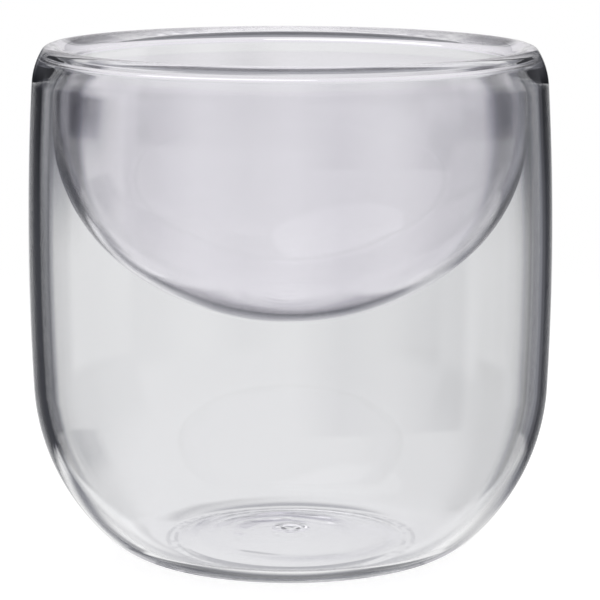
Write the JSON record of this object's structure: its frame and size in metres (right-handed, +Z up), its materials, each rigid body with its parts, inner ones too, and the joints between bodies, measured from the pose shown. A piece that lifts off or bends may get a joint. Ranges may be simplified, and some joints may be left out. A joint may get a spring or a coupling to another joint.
{
  "type": "double walled glass cup",
  "caption": "Small round tea glass with two walls: a bellied outer shell, a deep round bowl hung inside it, a melted lip and a sealed vent in the base.",
  "frame": {"origin": "middle of the base, at the height of the flat ring that the cup stands on", "axes": "+Z up along the cup's axis; the cup is round, so X and Y are any two level directions"},
  "size_m": [0.08, 0.08, 0.0785],
  "materials": {
    "outer_wall_glass": "clear blown glass with slight waves",
    "bowl_glass": "clear blown glass with slight waves",
    "rim_glass": "clear flame polished glass",
    "seal_glass": "clear glass with a melted swirl"
  },
  "bodies": {
    "root": {"outer_wall": "outer_wall_glass", "inner_bowl": "bowl_glass", "rim_bead": "rim_glass", "vent_seal": "seal_glass"}
  },
  "joints": []
}
